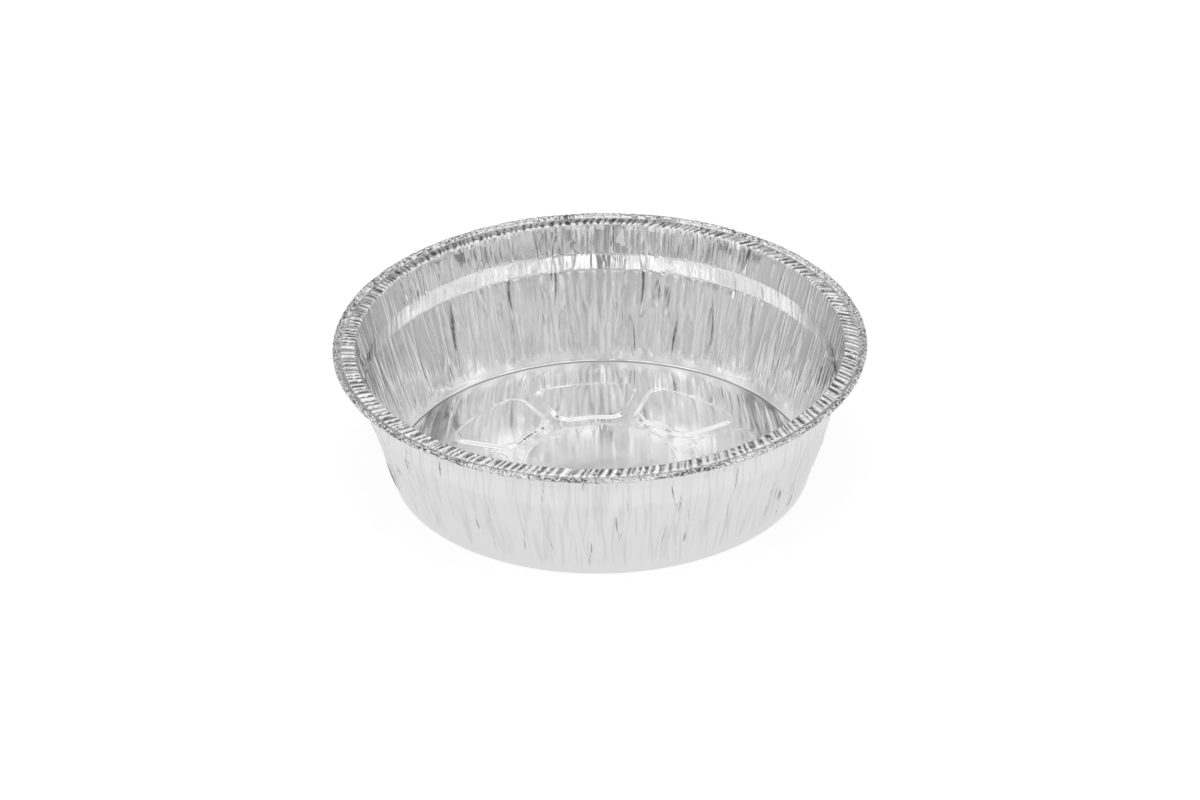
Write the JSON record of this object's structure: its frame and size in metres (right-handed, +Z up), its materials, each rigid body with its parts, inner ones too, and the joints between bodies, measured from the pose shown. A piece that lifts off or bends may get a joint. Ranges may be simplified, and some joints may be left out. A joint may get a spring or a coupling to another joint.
{
  "type": "foil pie tin",
  "caption": "Deep round foil tin with pleated sloping walls, a smooth band, a rolled rim and a floor of raised panels round a disc.",
  "frame": {"origin": "middle of the underside, on the surface that the tin stands on", "axes": "+Z up through the mouth; a floor panel is centred on each of +X, +Y, -X and -Y"},
  "size_m": [0.184, 0.184, 0.0495],
  "materials": {
    "foil": "bright rolled foil, finely wrinkled"
  },
  "bodies": {
    "root": {"foil_tin": "foil"}
  },
  "joints": []
}
